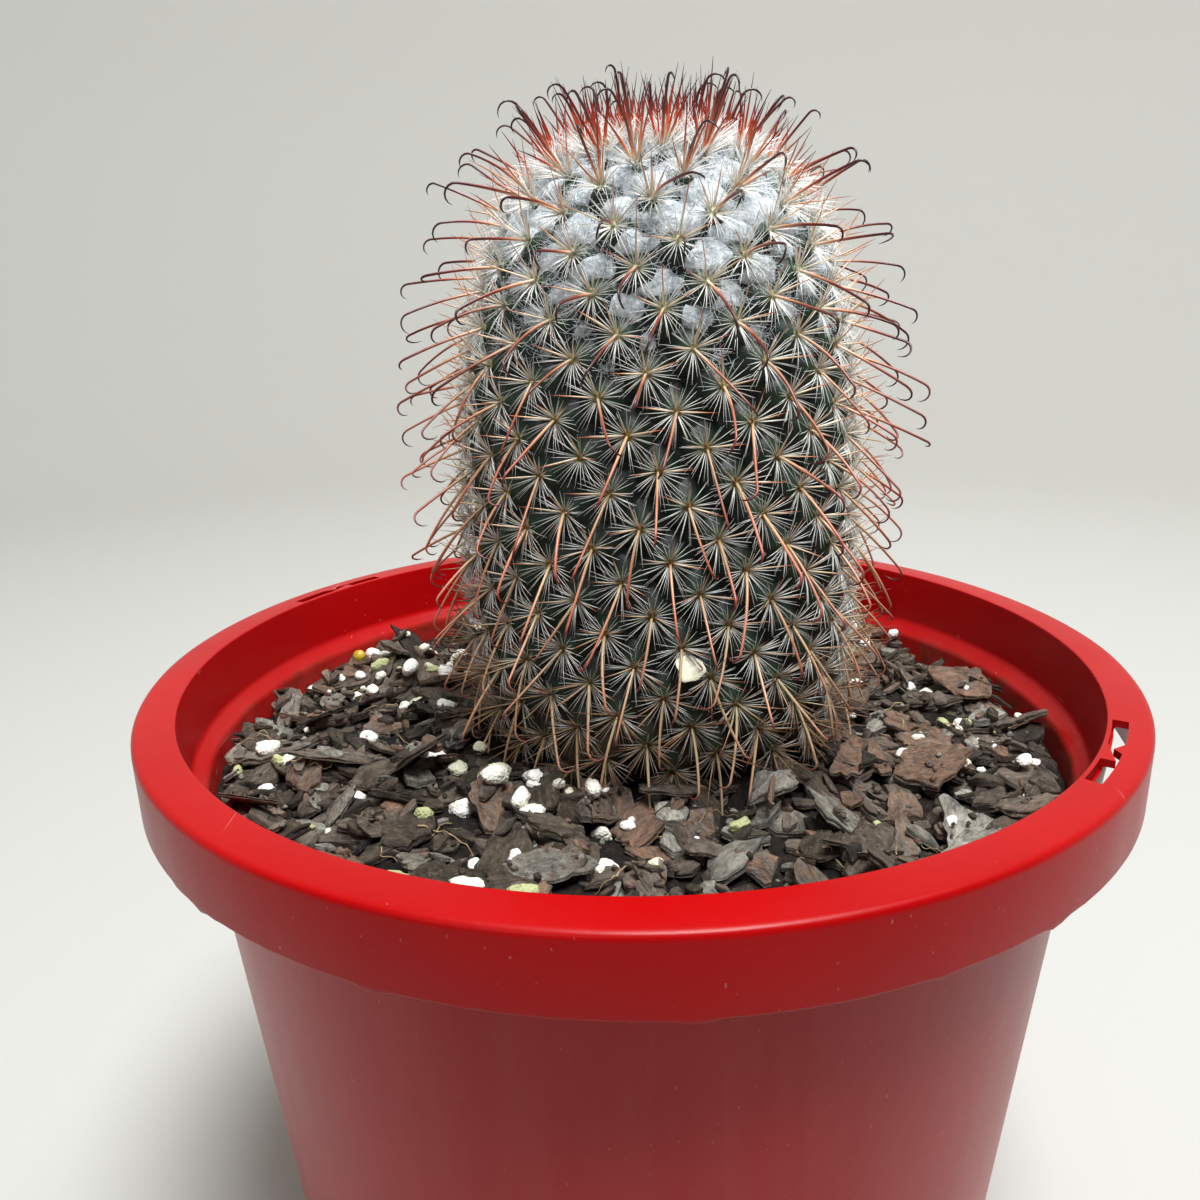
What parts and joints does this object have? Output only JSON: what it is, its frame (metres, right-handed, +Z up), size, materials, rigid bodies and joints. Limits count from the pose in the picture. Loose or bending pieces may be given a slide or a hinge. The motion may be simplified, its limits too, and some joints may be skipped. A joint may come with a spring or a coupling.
{
  "type": "potted cactus",
  "caption": "Short hook-spined cactus standing in bark potting mix in a plain tapered plastic pot with a folded rim.",
  "frame": {"origin": "centre of the pot's foot ring, on the surface that the pot stands on", "axes": "+Z up along the pot's axis; -Y is the front; +X is to the right seen from the front"},
  "size_m": [0.2, 0.2, 0.2598],
  "materials": {
    "pot": "satin",
    "mix": "matte",
    "skin": "satin",
    "spine": "satin",
    "bark": "matte",
    "perlite": "matte",
    "prill": "gloss",
    "flake": "matte",
    "straw": "matte"
  },
  "bodies": {
    "root": {"bark_chip_01": "bark", "bark_chip_02": "bark", "bark_chip_03": "bark", "bark_chip_04": "bark", "bark_chip_05": "bark", "bark_chip_06": "bark", "bark_chip_07": "bark", "bark_chip_08": "bark", "bark_chip_09": "bark", "bark_chip_10": "bark", "bark_chip_11": "bark", "bark_chip_12": "bark", "bark_chip_13": "bark", "bark_chip_14": "bark", "cactus_stem": "skin", "central_spine_01": "spine", "central_spine_02": "spine", "central_spine_03": "spine", "central_spine_04": "spine", "central_spine_05": "spine", "central_spine_06": "spine", "central_spine_07": "spine", "central_spine_08": "spine", "central_spine_09": "spine", "central_spine_10": "spine", "central_spine_11": "spine", "central_spine_12": "spine", "central_spine_13": "spine", "central_spine_14": "spine", "central_spine_15": "spine", "central_spine_16": "spine", "central_spine_17": "spine", "central_spine_18": "spine", "central_spine_19": "spine", "central_spine_20": "spine", "central_spine_21": "spine", "central_spine_22": "spine", "dry_flake": "flake", "fertiliser_prill": "prill", "perlite_grain_01": "perlite", "perlite_grain_02": "perlite", "perlite_grain_03": "perlite", "perlite_grain_04": "perlite", "perlite_grain_05": "perlite", "perlite_grain_06": "perlite", "perlite_grain_07": "perlite", "perlite_grain_08": "perlite", "pot": "pot", "potting_mix": "mix", "straw_fibre_01": "straw", "straw_fibre_02": "straw", "straw_fibre_03": "straw"}
  },
  "joints": []
}
